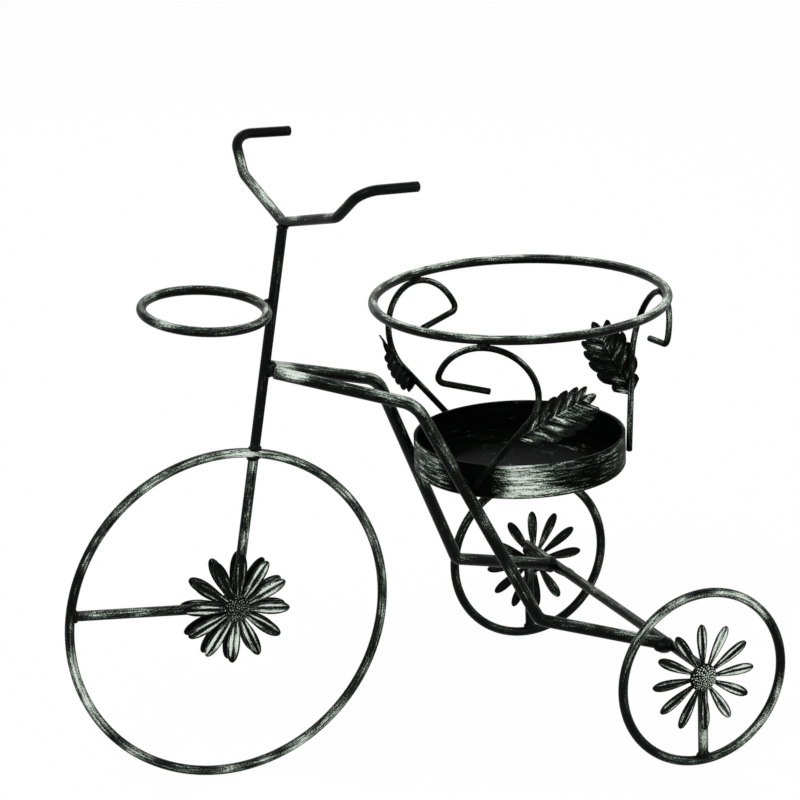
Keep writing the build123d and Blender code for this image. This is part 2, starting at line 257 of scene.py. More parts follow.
# Each kind of lump on a weld: its height, how fine it is, and how it shifts from weld to weld
WELD_LUMPS = [(0.16, 2.1, (7.3, 0, 0)), (0.05, 6.0, (0, 5.1, 0))]

# How much more silver the brush left on the sides of pressed pieces, and how much painted highlight their
# tops get, as light from above would give
SHEET_SIDE = 0.1
SHEET_TOP_HIGHLIGHT = 0.1

# Finish
WHITE = (1, 1, 1, 1)
BLACK_PAINT = (0.0012, 0.0017, 0.0013, 1.0)
WORN_PAINT = (0.018, 0.026, 0.020, 1.0)
GREEN_SILVER = (0.125, 0.155, 0.125, 1.0)
# The brightest silver, which also stands for painted lamp highlights along the rods
BRIGHT_SILVER_AND_HIGHLIGHT = (0.62, 0.68, 0.61, 1.0)
# The levels of brushing over which the black turns worn, then silver, then bright silver that also serves
# as painted highlight
WORN_LEVELS = (0.20, 0.52)
BRUSHED_LEVELS = (0.46, 0.64)
BRIGHT_LEVELS = (0.64, 0.94)
# How much that level varies with the speckles, and with what stands up
SPECKLED = 1.2
RAISED = 0.9
PAINT_GLOSS = 0.05
PAINT_ROUGHNESS = 0.25
SPECKLE_ROUGHNESS = 0.20
SILVER_ROUGHNESS = 0.15
SILVER_HEIGHT = 0.5
BUMP_STRENGTH = 0.5
BUMP_DEPTH = 0.15 * MM
STREAK_LENGTH = 22.0 * MM
STREAK_WIDTH = 1.3 * MM
STREAK_NOISE = {"Scale": 1.0, "Detail": 5.0, "Roughness": 0.66, "Distortion": 0.3}
# How far apart the streaks of two petals or leaf halves start
STREAK_STEP = 10.0 * MM
PATCH_SIZE = 30.0 * MM
SPECKLE_SIZE = 0.9 * MM
MOTTLE_DETAIL = 2.0

# Floor, backdrop and lights
FLOOR_SIZE = 40.0
FLOOR_GREY = (0.8, 0.8, 0.8, 1)
FLOOR_GLOW = 0.96
BACKDROP_LIGHT = 0.55
LIGHT_TARGET = Vector((0, 0, 0.2))
# Each light: its place, its size and its watts
LIGHTS = {
    "key_light": ((-1.6, -1.6, 2.2), (1.2, 1.2), 46),
    "fill_light": ((1.8, -1.4, 1.2), (1.4, 1.4), 16),
    "back_light": ((0.4, 2.2, 1.8), (1.6, 1.0), 22),
}

# Camera
CAMERA_PLACE = Vector((-1.01447, -2.44278, 1.12103))
CAMERA_TURN = math.radians(-22.86)
CAMERA_RISE = math.radians(17.54)
CAMERA_ROLL = math.radians(-2.03)
CAMERA_REACH = 100.0
SENSOR = 36.0
FOCAL_PIXELS = 3572.2
FRAME_PIXELS = 800


def middle(node):
    """The middle of a CAD node's box."""
    low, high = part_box(node)
    return (low + high) / 2


def box_length(node):
    """How long a CAD node's box is along X."""
    low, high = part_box(node)
    return high.x - low.x


# Places that the pieces share
column_way = Vector((math.sin(COLUMN_LEAN), 0, math.cos(COLUMN_LEAN)))
forward_way = Vector((-math.cos(FORWARD_SPOKE_RISE), 0, math.sin(FORWARD_SPOKE_RISE)))
rim_centre = middle("front_wheel_rim")
rim_radius = (box_length("front_wheel_rim") - RING_ROD) / 2
hub = Vector((rim_centre.x + HUB_SETBACK, 0, rim_centre.z + HUB_RISE))
rear_x = middle("rear_wheel_rim_left").x
rear_rim_height = middle("rear_wheel_rim_left").z
track = middle("rear_wheel_rim_right").y - middle("rear_wheel_rim_left").y
axle_height = middle("rear_axle").z
tray_centre = middle("drip_tray")
tray_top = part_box("drip_tray")[1].z
ring_centre = middle("pot_ring")
ring_radius = (box_length("pot_ring") - RING_ROD) / 2


def clamped(value):
    """A value kept between 0 and 1."""
    return max(0.0, min(1.0, value))


def placed(name, data):
    """An object in the scene."""
    made = bpy.data.objects.new(name, data)
    bpy.context.scene.collection.objects.link(made)
    return made


class Shader:
    """A tree of shader nodes that is built node by node."""

    def __init__(self, tree):
        self.tree = tree
        tree.nodes.clear()

    def add(self, kind, inputs=(), **settings):
        """Adds a node, sets its properties, and links or sets its inputs by name or number."""
        made = self.tree.nodes.new("ShaderNode" + kind)
        for key, value in settings.items():
            setattr(made, key, value)
        for key, value in dict(inputs).items():
            if isinstance(value, bpy.types.NodeSocket):
                self.tree.links.new(value, made.inputs[key])
            else:
                made.inputs[key].default_value = value
        return made

    def maths(self, operation, first, second=0.0, third=0.0):
        """A calculation with numbers."""
        return self.add("Math", {0: first, 1: second, 2: third}, operation=operation).outputs[0]

    def vector(self, operation, first, second=(0, 0, 0), scale=1.0):
        """A calculation with vectors. A dot product and a length give a number."""
        made = self.add("VectorMath", {0: first, 1: second, 3: scale}, operation=operation)
        return made.outputs["Value" if operation in ("DOT_PRODUCT", "LENGTH") else "Vector"]

    def ramp(self, value, low, high):
        """A smooth step of a value from low to high."""
        inputs = {"Value": value, "From Min": low, "From Max": high}
        return self.add("MapRange", inputs, interpolation_type="SMOOTHSTEP").outputs["Result"]

    def blend(self, factor, first, second):
        """A mix of two colours."""
        inputs = {0: factor, 6: first, 7: second}
        return self.add("Mix", inputs, data_type="RGBA").outputs[2]

    def seen(self):
        """One where a ray shows the surface to the camera, straight, reflected or through glass."""
        path = self.add("LightPath").outputs
        shown = self.maths("MAXIMUM", path["Is Camera Ray"], path["Is Glossy Ray"])
        return self.maths("MAXIMUM", shown, path["Is Transmission Ray"])


class Paint(Shader):
    """A material that is built node by node."""

    def __init__(self, name):
        self.material = bpy.data.materials.new(name)
        self.material.use_nodes = True
        super().__init__(self.material.node_tree)

    def place(self):
        """The piece's own coordinates."""
        return self.add("TexCoord").outputs["Object"]

    def place_from(self, centre):
        """The piece's own coordinates, from a centre."""
        return self.vector("SUBTRACT", self.place(), centre)

    def mottle(self, place, size):
        """Plain noise with patches of a size."""
        inputs = {"Vector": place, "Scale": 1 / size, "Detail": MOTTLE_DETAIL}
        return self.add("TexNoise", inputs, noise_dimensions="3D").outputs["Fac"]

    def stored(self, name):
        """A value that the piece stores on its points."""
        return self.add("Attribute", attribute_name=name).outputs["Fac"]

    def thinned(self, amount):
        """An amount of silver, less where the piece's stored brush value is under 1."""
        return self.maths("ADD", self.stored("brush"), amount - 1.0)


# The streaks are noise in four dimensions: each of these gives a vector and a fourth coordinate
def straight_streaks(paint, way):
    """Noise coordinates that are stretched along one direction."""
    place = paint.place()
    along = paint.vector("DOT_PRODUCT", place, way)
    stretch = paint.maths("MULTIPLY", along, 1 / STREAK_LENGTH - 1 / STREAK_WIDTH)
    across = paint.vector("SCALE", place, scale=1 / STREAK_WIDTH)
    pulled = paint.vector("SCALE", tuple(way), scale=stretch)
    return paint.vector("ADD", across, pulled), 0.0


def ring_streaks(paint, local, axis, radius, fineness=1.0):
    """Noise coordinates that are stretched round a ring, whose axis is Y or Z."""
    parts = paint.add("SeparateXYZ", {0: local}).outputs
    order = (0, 2, 1) if axis == "Y" else (0, 1, 2)
    first, second, axial = [parts[number] for number in order]
    squares = paint.maths("ADD", paint.maths("POWER", first, 2), paint.maths("POWER", second, 2))
    reach = paint.maths("SQRT", squares)
    turns = radius / STREAK_LENGTH * fineness
    cosine = paint.maths("MULTIPLY", paint.maths("DIVIDE", first, reach), turns)
    sine = paint.maths("MULTIPLY", paint.maths("DIVIDE", second, reach), turns)
    rise = paint.maths("DIVIDE", axial, STREAK_WIDTH / fineness)
    vector = paint.add("CombineXYZ", {0: cosine, 1: sine, 2: rise}).outputs[0]
    return vector, paint.maths("DIVIDE", reach, STREAK_WIDTH / fineness)


def swept_streaks(paint):
    """Noise coordinates along a swept piece, from its own stored places."""
    place = paint.add("Attribute", attribute_name="sweep_place").outputs["Vector"]
    scales = (1 / STREAK_LENGTH, 1 / STREAK_WIDTH, 1 / STREAK_WIDTH)
    return paint.vector("MULTIPLY", place, scales), 0.0


def brush_reach_and_top_highlight(paint, sideways, upward):
    """How well the brush reached, from the surface's turn to either side, plus a painted highlight on
    surfaces that face upward, as light from above would give.
    """
    normal = paint.add("NewGeometry").outputs["Normal"]
    parts = paint.add("SeparateXYZ", {0: normal}).outputs
    to_side = paint.maths("MULTIPLY", paint.maths("ABSOLUTE", parts[1]), sideways)
    return paint.maths("MULTIPLY_ADD", parts[2], upward, to_side)


def finish_paint(
    paint, streaks, amount, sideways, upward, patchy=1.3, streaky=2.2, raised=None, gloss=PAINT_GLOSS
):
    """Near-black paint with silver-green dry-brushed over it and a painted highlight on its upward faces,
    where the amount is from 0 to 1.
    """
    vector, w = streaks
    place = paint.place()
    streak_inputs = {"Vector": vector, "W": w, **STREAK_NOISE}
    streak = paint.add("TexNoise", streak_inputs, noise_dimensions="4D").outputs["Fac"]
    speckle = paint.mottle(place, SPECKLE_SIZE)
    layers = [(streak, streaky), (paint.mottle(place, PATCH_SIZE), patchy), (speckle, SPECKLED)]
    if raised is not None:
        layers.append((raised, RAISED))
    # The upward share is painted highlight on the tops, as light from above would give
    level = paint.maths("ADD", brush_reach_and_top_highlight(paint, sideways, upward), amount)
    for value, strength in layers:
        centred = paint.maths("MULTIPLY_ADD", value, strength, -strength / 2)
        level = paint.maths("ADD", level, centred)
    worn = paint.ramp(level, *WORN_LEVELS)
    brushed = paint.ramp(level, *BRUSHED_LEVELS)
    bright = paint.ramp(level, *BRIGHT_LEVELS)
    dark = paint.blend(worn, BLACK_PAINT, WORN_PAINT)
    silver = paint.blend(bright, GREEN_SILVER, BRIGHT_SILVER_AND_HIGHLIGHT)
    colour = paint.blend(brushed, dark, silver)
    speckled = paint.maths("MULTIPLY_ADD", speckle, SPECKLE_ROUGHNESS, PAINT_ROUGHNESS)
    rough = paint.maths("MULTIPLY_ADD", brushed, SILVER_ROUGHNESS, speckled)
    height = paint.maths("MULTIPLY_ADD", brushed, SILVER_HEIGHT, speckle)
    bump = paint.add("Bump", {"Height": height, "Strength": BUMP_STRENGTH, "Distance": BUMP_DEPTH})
    inputs = {
        "Base Color": colour, "Roughness": rough, "Normal": bump.outputs[0], "Specular IOR Level": gloss,
    }
    shader = paint.add("BsdfPrincipled", inputs)
    paint.add("OutputMaterial", {"Surface": shader.outputs[0]})
    return paint.material


def swept_paint(name, amount, sideways, upward, gloss=PAINT_GLOSS):
    """The paint for swept rods, whose own brush values thin it."""
    paint = Paint(name)
    streaks = swept_streaks(paint)
    return finish_paint(paint, streaks, paint.thinned(amount), sideways, upward, gloss=gloss)


def sheet_paint(name, amount, patchy, streaky, crisp=1.0, gloss=PAINT_GLOSS):
    """Paint for petals and leaves, with silver on what stands up from the sheet."""
    paint = Paint(name)
    raised = paint.maths("MULTIPLY", paint.stored("raised"), crisp)
    look = {"patchy": patchy, "streaky": streaky, "raised": raised, "gloss": gloss}
    return finish_paint(paint, swept_streaks(paint), paint.thinned(amount), SHEET_SIDE, SHEET_TOP_HIGHLIGHT, **look)


def button_paint(name, amount):
    """Paint for seed heads, with silver on top of the beads."""
    paint = Paint(name)
    streaks = (paint.vector("SCALE", paint.place(), scale=1 / BEAD_MOTTLE), 0.0)
    look = {"patchy": 0.7, "streaky": 1.2, "raised": paint.stored("raised")}
    return finish_paint(paint, streaks, amount, SHEET_SIDE, SHEET_TOP_HIGHLIGHT, **look)


def dress(node, material):
    """Gives a CAD node its finish. Its shape stays."""
    nodes[node].data.materials.clear()
    nodes[node].data.materials.append(material)


def silver_at_places(paint, local, places):
    """How much more or less silver some places round a centre get."""
    turned = paint.vector("NORMALIZE", local)
    total = 0.0
    for way, narrow, strength in places:
        near = paint.vector("DOT_PRODUCT", turned, Vector(way).normalized())
        lobe = paint.maths("POWER", paint.maths("MAXIMUM", near, 0.0), narrow)
        total = paint.maths("MULTIPLY_ADD", lobe, strength, total)
    return total


# Where the rings and the tray's wall are lighter or darker: the way from the middle to each
# place, how narrow it is and how strong
RING_PLACES = {
    "front_wheel_rim": [
        ((0.05, 0, 1), 20.0, 0.22), ((-0.95, 0, -0.25), 14.0, 0.16),
        ((-1, 0, 0.2), 60.0, -0.25), ((1, 0, 0), 8.0, -0.08),
    ],
    "rear_wheel_rim_left": [
        ((-1, 0, -0.1), 8.0, -0.45), ((1, 0, 0.25), 8.0, -0.35), ((0.75, 0, -0.66), 14.0, 0.18),
        ((-0.6, 0, 0.8), 12.0, 0.3), ((0.5, 0, 0.86), 16.0, 0.18),
    ],
    "rear_wheel_rim_right": [((0, 0, -1), 4.0, -0.3), ((-1, 0, -0.3), 6.0, -0.2)],
    "pot_ring": [((-1, 0.3, 0), 10.0, -0.15), ((1, -0.4, 0), 10.0, 0.12)],
    "cup_ring": [],
}
# The tray's wall is darker over a stretch at its front left
TRAY_PLACES = [
    ((-0.45, -0.89, 0), 26.0, 0.50), ((-0.12, -0.99, 0), 16.0, 0.32), ((-0.80, -0.60, 0), 30.0, -0.60),
    ((-1, -0.1, 0), 16.0, 0.45), ((0.75, -0.65, 0), 5.0, 0.22),
]


def dress_rings():
    """The rims, the pot ring and the cup ring, with streaks that run round them."""
    # Each has its axis, its amount of silver, how much more the brush left on its sides, and how much
    # painted highlight its top gets
    rings = {
        "front_wheel_rim": ("Y", 0.0, 0.5, 0.12),
        "rear_wheel_rim_left": ("Y", -0.02, 0.5, 0.12),
        "rear_wheel_rim_right": ("Y", 0.02, 0.4, 0.15),
        "pot_ring": ("Z", 0.08, 0.0, 0.62),
        "cup_ring": ("Z", 0.18, 0.0, 0.40),
    }
    for node, (axis, amount, sideways, upward) in rings.items():
        paint = Paint(node + "_paint")
        local = paint.place_from(middle(node))
        streaks = ring_streaks(paint, local, axis, box_length(node) / 2)
        amount = paint.maths("ADD", silver_at_places(paint, local, RING_PLACES[node]), amount)
        dress(node, finish_paint(paint, streaks, amount, sideways, upward))


def dress_rods():
    """The straight rods, with streaks along each."""
    low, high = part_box("front_wheel_forward_spoke")
    spoke = Vector((low.x - high.x, 0, (high.z - low.z) - BAR_ROD)).normalized()
    # Each has its way, and the rest as the rings have
    rods = {
        "steering_column": (column_way, -0.22, 0.35, 0.1),
        "front_wheel_upright_spoke": (column_way, 0.08, 0.4, 0.1),
        "front_wheel_forward_spoke": (spoke, -0.02, 0.35, 0.3),
        "rear_axle": (ACROSS, -0.12, -0.1, 0.5),
        "rear_wheel_spoke_left": (UPRIGHT, 0.38, 0.2, 0.0),
        "rear_wheel_spoke_right": (UPRIGHT, 0.0, 0.2, 0.0),
    }
    for node, (way, amount, sideways, upward) in rods.items():
        paint = Paint(node + "_paint")
        material = finish_paint(paint, straight_streaks(paint, way), amount, sideways, upward)
        dress(node, material)


def dress_tray():
    """The tray, black inside, with a few lighter and darker places on its wall, and silver on the edge of
    its step.
    """
    paint = Paint("drip_tray_paint")
    local = paint.place_from(tray_centre)
    streaks = ring_streaks(paint, local, "Z", TRAY_RADIUS, fineness=1.2)
    flat = paint.vector("MULTIPLY", local, (1, 1, 0))
    reach = paint.vector("LENGTH", flat)
    outside = paint.ramp(reach, TRAY_RADIUS - WALL_START, TRAY_RADIUS - WALL_FULL)
    wall = paint.maths("ADD", silver_at_places(paint, flat, TRAY_PLACES), WALL_SILVER)
    off_step = paint.maths("DIVIDE", paint.maths("SUBTRACT", reach, TRAY_STEP_RADIUS), STEP_EDGE_WIDTH)
    edge = paint.maths("MAXIMUM", paint.maths("SUBTRACT", 1.0, paint.maths("POWER", off_step, 2)), 0.0)
    amount = paint.maths("MULTIPLY_ADD", edge, STEP_SILVER, paint.maths("MULTIPLY", outside, wall))
    amount = paint.maths("ADD", amount, TRAY_SILVER)
    material = finish_paint(paint, streaks, amount, 0.0, 0.1, patchy=1.0, streaky=3.2, gloss=0.006)
    dress("drip_tray", material)


def band_faces(rings, segments, start=0, flip=False):
    """The faces between rings of points that each close on themselves."""
    faces = []
    for ring in range(rings - 1):
        low, high = start + ring * segments, start + (ring + 1) * segments
        for index in range(segments):
            after = (index + 1) % segments
            first, second, third, fourth = low + index, low + after, high + after, high + index
            faces.append((first, fourth, third, second) if flip else (first, second, third, fourth))
    return faces


def dome_faces(rings, segments, start, top):
    """The faces of rings of points that close in one point on top."""
    last = start + (rings - 1) * segments
    fan = [(last + index, last + (index + 1) % segments, top) for index in range(segments)]
    return band_faces(rings, segments, start) + fan


def grid_faces(rows, columns, start):
    """The faces of a grid of points."""
    firsts = [start + row * columns + column for row in range(rows - 1) for column in range(columns - 1)]
    return [(first, first + 1, first + columns + 1, first + columns) for first in firsts]


def flipped(faces):
    """The same faces, turned to the other side."""
    return [tuple(reversed(face)) for face in faces]


def sheet_faces(rows, columns, start):
    """The faces of a sheet, where the points of its underside follow those of its top."""
    under = start + rows * columns
    faces = grid_faces(rows, columns, start) + flipped(grid_faces(rows, columns, under))
    walk = [(row, 0) for row in range(rows)] + [(rows - 1, column) for column in range(1, columns)]
    walk += [(row, columns - 1) for row in range(rows - 2, -1, -1)]
    walk += [(0, column) for column in range(columns - 2, 0, -1)]
    edge = [row * columns + column for row, column in walk]
    for first, second in zip(edge, edge[1:] + edge[:1]):
        faces.append((start + first, under + first, under + second, start + second))
    return faces


def new_piece(name, points, faces, material, stored, stands_for=()):
    """A mesh piece that rides on the planter, with its stored values on its points."""
    mesh = bpy.data.meshes.new(name)
    mesh.from_pydata([tuple(point) for point in points], [], faces)
    mesh.validate()
    mesh.shade_smooth()
    for key, values in stored.items():
        kind = "FLOAT_VECTOR" if isinstance(values[0], (Vector, tuple)) else "FLOAT"
        layer = mesh.attributes.new(key, kind, "POINT")
        part = "value" if kind == "FLOAT" else "vector"
        for item, value in zip(layer.data, values):
            setattr(item, part, value)
    mesh.materials.append(material)
    piece = placed(name, mesh)
    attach(piece, "root")
    if stands_for:
        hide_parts(*stands_for)


def rounded_path(points, bends):
    """Points along straight runs and tangent arcs, close together on the arcs."""
    path = [points[0]]
    for before, corner, after, radius in zip(points, points[1:], points[2:], bends):
        inward = (before - corner).normalized()
        outward = (after - corner).normalized()
        turn = math.pi - inward.angle(outward)
        tangent = radius * math.tan(turn / 2)
        centre = corner + (inward + outward).normalized() * (radius / math.cos(turn / 2))
        start = corner + inward * tangent
        count = max(4, round(radius * turn / ARC_STEP))
        axis = inward.cross(outward).normalized()
        for index in range(count + 1):
            path.append(centre + Matrix.Rotation(-turn * index / count, 3, axis) @ (start - centre))
    path.append(points[-1])
    return path


def spaced(path):
    """The same path with its long runs divided."""
    out = [path[0]]
    for start, end in zip(path, path[1:]):
        count = max(1, math.ceil((end - start).length / RUN_STEP))
        out += [start.lerp(end, index / count) for index in range(1, count + 1)]
    return out


def lengths_along(path):
    """The length up to each point of a path."""
    lengths = [0.0]
    for start, end in zip(path, path[1:]):
        lengths.append(lengths[-1] + (end - start).length)
    return lengths


def swept_rod(node, path, diameter, material, brush=lambda along: 1.0):
    """A round rod in place of a node's, with broken ends and its places stored for the streaks."""
    path = spaced(path)
    ways = [(after - before).normalized() for before, after in zip(path, path[1:])]
    lengths = lengths_along(path)
    full = diameter / 2
    broken = full - END_CHAMFER
    rings = [(path[0], ways[0], 0.0, broken), (path[0] + ways[0] * END_CHAMFER, ways[0], END_CHAMFER, full)]
    for index in range(1, len(path) - 1):
        way = (ways[index - 1] + ways[index]).normalized()
        rings.append((path[index], way, lengths[index], full))
    rings.append((path[-1] - ways[-1] * END_CHAMFER, ways[-1], lengths[-1] - END_CHAMFER, full))
    rings.append((path[-1], ways[-1], lengths[-1], broken))
    side = ways[0].orthogonal().normalized()
    points, places, amounts = [], [], []
    for centre, way, along, radius in rings:
        side = (side - way * side.dot(way)).normalized()
        other = way.cross(side)
        for index in range(ROD_SIDES):
            angle = 2 * math.pi * index / ROD_SIDES
            points.append(centre + (side * math.cos(angle) + other * math.sin(angle)) * radius)
            places.append((along, full * math.cos(angle), full * math.sin(angle)))
            amounts.append(brush(along))
    faces = band_faces(len(rings), ROD_SIDES)
    faces.append(tuple(reversed(range(ROD_SIDES))))
    faces.append(tuple(range((len(rings) - 1) * ROD_SIDES, len(rings) * ROD_SIDES)))
    stored = {"sweep_place": places, "brush": amounts}
    new_piece(node + "_rod", points, faces, material, stored, [node])


def on_column(height):
    """The place on the column's axis at a height."""
    return hub + column_way * ((height - hub.z) / column_way.z)


def butt_distance(way, other_way, diameter, other_diameter):
    """How far from another rod's axis a rod has to end, to butt against its side."""
    turn = way.angle(other_way)
    beside = (other_diameter / 2 + WELD_GAP) / math.sin(turn)
    return beside + diameter / 2 * abs(math.cos(turn) / math.sin(turn))


def handlebar_points():
    """The corners of the handlebar, from its left end to its right end."""
    stations = [Vector((back, -out, up)) for back, out, up in reversed(HANDLEBAR_STATIONS)]
    stations += [Vector()] + [Vector(station) for station in HANDLEBAR_STATIONS]
    turn = Matrix.Rotation(HANDLEBAR_TURN, 3, "Z")
    return [on_column(HANDLEBAR_HEIGHT) + turn @ (station * MM) for station in stations]


def make_handlebar(material):
    """One bent rod whose two grips are plain black."""
    path = rounded_path(handlebar_points(), [bend * MM for bend in HANDLEBAR_BENDS])
    total = lengths_along(path)[-1]

    def brush(along):
        return clamped((min(along, total - along) - GRIP_LENGTH) / GRIP_FADE)

    swept_rod("handlebar", path, BAR_ROD, material, brush)


def bar_corners(side):
    """The start, the shoulder, the knee and the tail of one frame bar's centre line."""
    start = on_column(BAR_START_HEIGHT)
    beside = ((BAR_ROD + FRAME_ROD) / 2 + WELD_GAP) / math.cos(BAR_SPREAD)
    shoulder_x = rim_centre.x + SHOULDER_SETBACK
    reach = beside + (shoulder_x - start.x) * math.tan(BAR_SPREAD)
    shoulder = Vector((shoulder_x, side * reach, SHOULDER_HEIGHT))
    tail = Vector((rear_x, side * TAIL_REACH, axle_height))
    knee_x = rim_centre.x + KNEE_SETBACK
    knee = Vector((knee_x, side * KNEE_REACH, tail.z + (tail.x - knee_x) * math.tan(TAIL_FALL)))
    return Vector((start.x, side * beside, start.z)), shoulder, knee, tail


def patch(along, place, width, height):
    """More silver round one place along a rod."""
    return height * math.exp(-(((along - place) / width) ** 2))


def make_frame_bars(material):
    """The two bars from the column, past the tray, to the axle."""
    for name, side in sides.items():
        start, shoulder, knee, tail = bar_corners(side)
        start = start + (shoulder - start).normalized() * BAR_START_SETBACK
        tail_way = (tail - knee).normalized()
        tail = tail - tail_way * butt_distance(tail_way, ACROSS, FRAME_ROD, BAR_ROD)
        path = rounded_path([start, shoulder, knee, tail], [SHOULDER_BEND, KNEE_BEND])
        bend = ((shoulder - start).length, SHOULDER_PATCH_WIDTH, SHOULDER_PATCH_HEIGHT)

        def brush(along):
            return FRAME_SILVER + patch(along, *START_PATCH) + patch(along, *bend)

        swept_rod("frame_bar_" + name, path, FRAME_ROD, material, brush)


def scroll_frame(angle):
    """The foot, the sideways way, the upward way and the height of one leaning scroll."""
    outward = Vector((math.cos(angle), math.sin(angle), 0))
    along = UPRIGHT.cross(outward)
    beside = TRAY_RADIUS + SCROLL_ROD / 2 + WELD_GAP
    foot_radius = math.sqrt(beside**2 - SCROLL_FOOT_OFFSET**2)
    foot = Vector((tray_centre.x, tray_centre.y, tray_top - SCROLL_FOOT_DEPTH)) + outward * foot_radius
    under = (RING_ROD + SCROLL_ROD) / 2 + WELD_GAP
    top = ring_centre + outward * ring_radius - Vector((0, 0, under))
    rise = top - foot
    up = (rise - along * rise.dot(along)).normalized()
    return foot, along, up, rise.length


def arc(centre, radius, start, end, steps):
    """Flat points on an arc, from one angle to another."""
    turns = [start + (end - start) * index / steps for index in range(steps + 1)]
    return [centre + Vector((math.cos(turn), math.sin(turn))) * radius for turn in turns]


def scroll_path(angle):
    """The stem, the round head and the hook of one scroll."""
    origin, along, up, height = scroll_frame(angle)
    centre = Vector((SCROLL_HEAD_OFFSET, height - SCROLL_RADIUS))
    foot = Vector((-SCROLL_FOOT_OFFSET, 0))
    reach = (centre - foot).length
    slope = math.atan2(centre.y - foot.y, centre.x - foot.x) - math.asin(SCROLL_RADIUS / reach)
    flat = [foot] + arc(centre, SCROLL_RADIUS, slope - math.pi / 2, CURL_END, HEAD_STEPS)
    end_way = Vector((math.cos(CURL_END), math.sin(CURL_END)))
    corner = centre + end_way * (SCROLL_RADIUS - CURL_BEND)
    flat += arc(corner, CURL_BEND, CURL_END, math.radians(270) - HOOK_FALL, CURL_STEPS)[1:]
    flat.append(flat[-1] + Vector((math.cos(HOOK_FALL), -math.sin(HOOK_FALL))) * HOOK_LENGTH)
    return [origin + along * point.x + up * point.y for point in flat]


def make_scrolls(material):
    """The three scrolls between the tray and the pot ring."""
    for number, angle in enumerate(SCROLL_ANGLES, start=1):
        swept_rod("scroll_" + str(number), scroll_path(angle), SCROLL_ROD, material)


def petal_half_width(share, width, shares):
    """Half of the petal's width at a share of its length from root to tip."""
    root_share, wide_share = shares
    if share < wide_share:
        grown = math.sin(math.pi / 2 * share / wide_share) ** WIDENING_POWER
        return width / 2 * (root_share + (1 - root_share) * grown)
    past = (share - wide_share) / (1 - wide_share)
    return max(PETAL_EDGE, width / 2 * math.sqrt(max(0.0, 1 - past**TIP_POWER)))


def add_petal(store, place, turn, width, shares, brush):
    """One cupped petal with two pressed ridges, added to a flower's lists."""
    points, faces, raised, brush_and_highlight, places = store
    root = DISC_RADIUS - PETAL_ROOT_OVERLAP
    tip = DISC_RADIUS + PETAL_LENGTH
    top, lifts, flat = [], [], []
    for row in range(PETAL_ROWS):
        share = math.sin(math.pi / 2 * row / (PETAL_ROWS - 1)) ** ROW_POWER
        x = root + (tip - root) * share
        half = petal_half_width(share, width, shares)
        fade = math.sin(math.pi * min(1.0, share * RIDGE_RUN)) ** RIDGE_END_POWER
        for column in range(PETAL_COLUMNS):
            across = 2 * column / (PETAL_COLUMNS - 1) - 1
            ridge = 0.5 - 0.5 * math.cos(2 * math.pi * abs(across))
            top.append(Vector((x, across * half, PETAL_SHEET + GROOVE_DEPTH * ridge * fade)))
            lifts.append(clamped(ridge**RIDGE_SILVER_POWER * fade))
            flat.append((x, across * half, turn * STREAK_STEP))
    under = [point - Vector((0, 0, UNDERSIDE_DROP)) for point in top]
    rotation = Matrix.Rotation(turn, 3, "Z")
    start = len(points)
    points += [place(rotation @ point) for point in top + under]
    raised += lifts + [UNDERSIDE_RAISED] * len(under)
    # Each petal's brush value is its painted highlight level
    brush_and_highlight += [brush] * (2 * len(top))
    places += flat + flat
    faces += sheet_faces(PETAL_ROWS, PETAL_COLUMNS, start)


def circle(radius, height, segments):
    """Points round a flower's axis."""
    turns = [2 * math.pi * index / segments for index in range(segments)]
    return [Vector((radius * math.cos(turn), radius * math.sin(turn), height)) for turn in turns]


def add_disc(store, place):
    """The flat round middle of a flower, under its seed head."""
    points, faces, raised, brush_and_highlight, places = store
    start = len(points)
    flat = circle(DISC_SHOWN, 0.0, DISC_SEGMENTS) + circle(DISC_SHOWN, PETAL_SHEET, DISC_SEGMENTS)
    points += [place(point) for point in flat]
    places += [tuple(point) for point in flat]
    raised += [DISC_RAISED] * len(flat)
    brush_and_highlight += [DISC_BRUSH] * len(flat)
    faces += band_faces(2, DISC_SEGMENTS, start)
    faces.append(tuple(reversed(range(start, start + DISC_SEGMENTS))))
    faces.append(tuple(range(start + DISC_SEGMENTS, start + 2 * DISC_SEGMENTS)))


def flower_place(centre, outward):
    """Turns a flower's own coordinates into the planter's."""
    x_way = Vector((1, 0, 0))
    y_way = outward.cross(x_way)
    return lambda point: centre + x_way * point.x + y_way * point.y + outward * point.z


def make_flower(node, centre, outward, turn, width, shares, material, petal_highlights):
    """A pressed daisy: its disc and its ring of petals."""
    store = ([], [], [], [], [])
    place = flower_place(centre, outward)
    add_disc(store, place)
    for index, brush in enumerate(petal_highlights):
        add_petal(store, place, turn + index * 2 * math.pi / PETALS, width, shares, brush)
    points, faces, raised, brush_and_highlight, places = store
    stored = {"raised": raised, "brush": brush_and_highlight, "sweep_place": places}
    new_piece(node + "_petals", points, faces, material, stored, [node])


def add_bead(points, faces, raised, place, centre, up, radius):
    """One small bead, open below where it sinks into the dome."""
    side = up.orthogonal().normalized()
    other = up.cross(side)
    start = len(points)
    for ring in range(BEAD_RINGS):
        tilt = BEAD_SWEEP * (1 - ring / BEAD_RINGS)
        for index in range(BEAD_SEGMENTS):
            angle = 2 * math.pi * index / BEAD_SEGMENTS
            flat = (side * math.cos(angle) + other * math.sin(angle)) * math.sin(tilt)
            points.append(place(centre + (flat + up * math.cos(tilt)) * radius))
            raised.append(max(0.0, math.cos(tilt)))
    points.append(place(centre + up * radius))
    raised.append(1.0)
    faces += dome_faces(BEAD_RINGS, BEAD_SEGMENTS, start, len(points) - 1)


